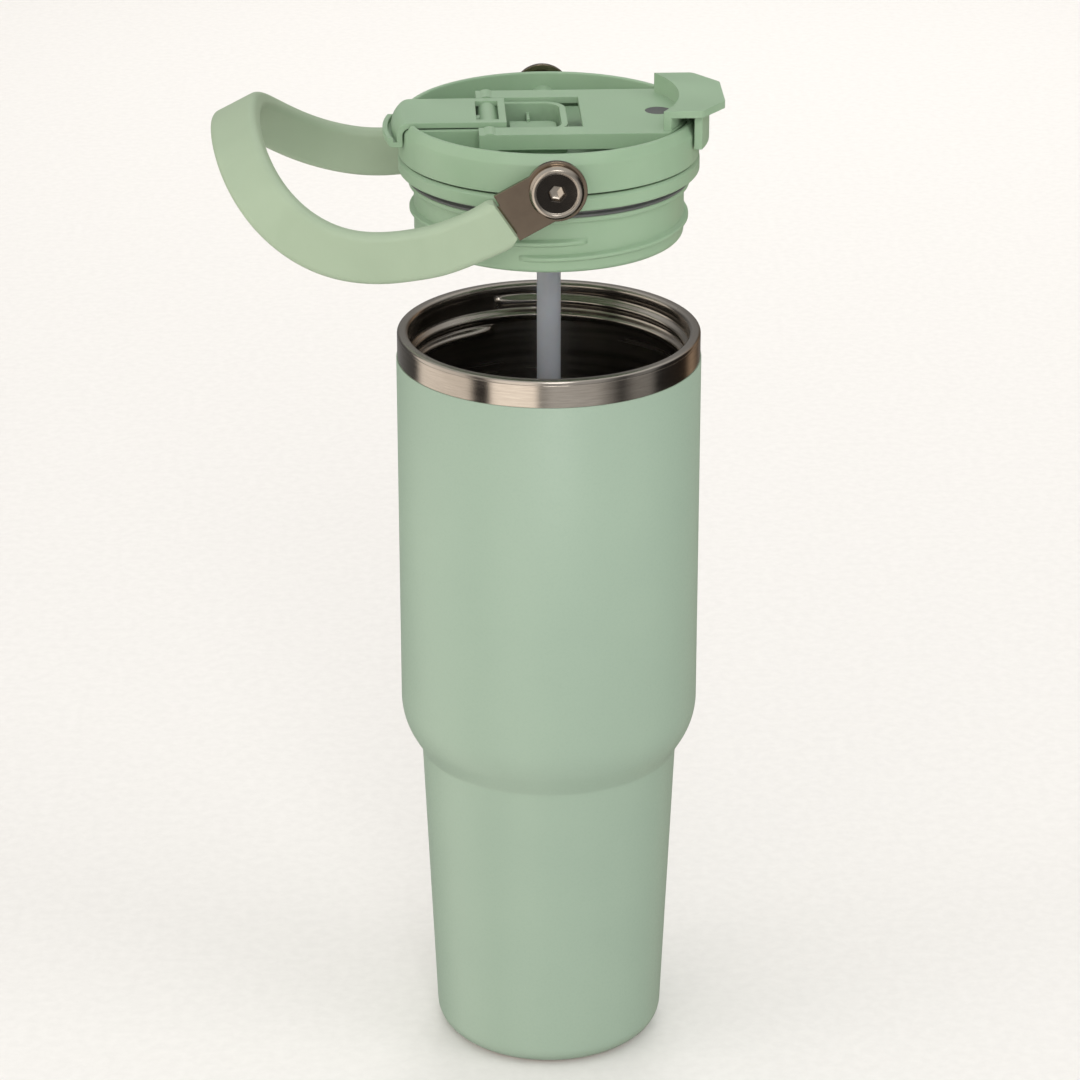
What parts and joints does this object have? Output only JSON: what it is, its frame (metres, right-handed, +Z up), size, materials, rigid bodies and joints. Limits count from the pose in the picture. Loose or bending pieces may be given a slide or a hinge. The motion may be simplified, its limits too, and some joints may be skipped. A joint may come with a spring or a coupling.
{
  "type": "insulated travel mug",
  "caption": "Insulated travel mug with a stepped body, a screw lid with carry handle, thumb flap over a sip hole, flip-up spout and a straw, shown with the lid lifted off.",
  "frame": {"origin": "centre of the mug's foot, on the surface it stands on", "axes": "+Z up along the mug's axis, +X towards the thumb tab of the flap, Y along the handle's pivot axis, the carry grip on the -X side"},
  "size_m": [0.1632, 0.1176, 0.3355],
  "materials": {
    "green_coat": "fine powder coat, matte",
    "steel": "brushed round the mug",
    "bright_steel": "polished",
    "getter_metal": "sintered",
    "solder": "dull",
    "green_plastic": "satin moulded",
    "green_grip": "soft satin moulded",
    "grey_silicone": "matte silicone",
    "clear_straw": "clear, slightly grey",
    "foot_plastic": "matte",
    "brass": "turned"
  },
  "bodies": {
    "mug": {"inner_vessel": "steel", "outer_shell": "steel", "shell_bottom": "steel", "vacuum_seal": "solder", "getter": "getter_metal", "base_cover": "foot_plastic", "powder_coat": "green_coat"},
    "straw": {"straw": "clear_straw"},
    "gasket": {"lid_gasket": "grey_silicone"},
    "lid": {"lid_cover": "green_plastic", "lid_plug": "green_plastic", "cover_oring": "grey_silicone", "vent_valve": "grey_silicone", "straw_connector": "clear_straw", "spout_seal": "grey_silicone", "hinge_pin_front": "bright_steel", "hinge_pin_back": "bright_steel", "pivot_insert_front": "brass", "pivot_insert_back": "brass", "pivot_spacer_front": "bright_steel", "pivot_spacer_back": "bright_steel", "pivot_bolt_front": "bright_steel", "pivot_bolt_back": "bright_steel"},
    "handle": {"handle_strap_front": "bright_steel", "handle_strap_back": "bright_steel", "handle_grip": "green_grip"},
    "spout": {"flip_spout": "green_plastic", "spout_tip": "grey_silicone"},
    "flap": {"sip_flap": "green_plastic", "flap_stopper": "grey_silicone"}
  },
  "joints": [
    {"name": "lid_lift", "type": "slide", "parent": "mug", "child": "straw", "axis": [0, 0, 1], "range_m": [-0.045, 0]},
    {"name": "lid_rise", "type": "slide", "parent": "straw", "child": "gasket", "axis": [0, 0, 1], "range_m": [-0.01, 0]},
    {"name": "lid_turn", "type": "hinge", "parent": "gasket", "child": "lid", "pos_m": [0, 0, 0.311], "axis": [0, 0, 1], "range_deg": [-720, 0]},
    {"name": "handle_swing", "type": "hinge", "parent": "lid", "child": "handle", "pos_m": [0, 0, 0.3202], "axis": [0, 1, 0], "range_deg": [-55, 180]},
    {"name": "flap_open", "type": "hinge", "parent": "lid", "child": "flap", "pos_m": [-0.0195, 0, 0.3265], "axis": [0, -1, 0], "range_deg": [0, 110]},
    {"name": "spout_flip", "type": "hinge", "parent": "lid", "child": "spout", "pos_m": [-0.0195, 0, 0.3265], "axis": [0, 1, 0], "range_deg": [0, 90]}
  ],
  "couplings": [
    {"joint": "lid_rise", "follows": "lid_turn", "m_per_rad": 0.00079577}
  ]
}
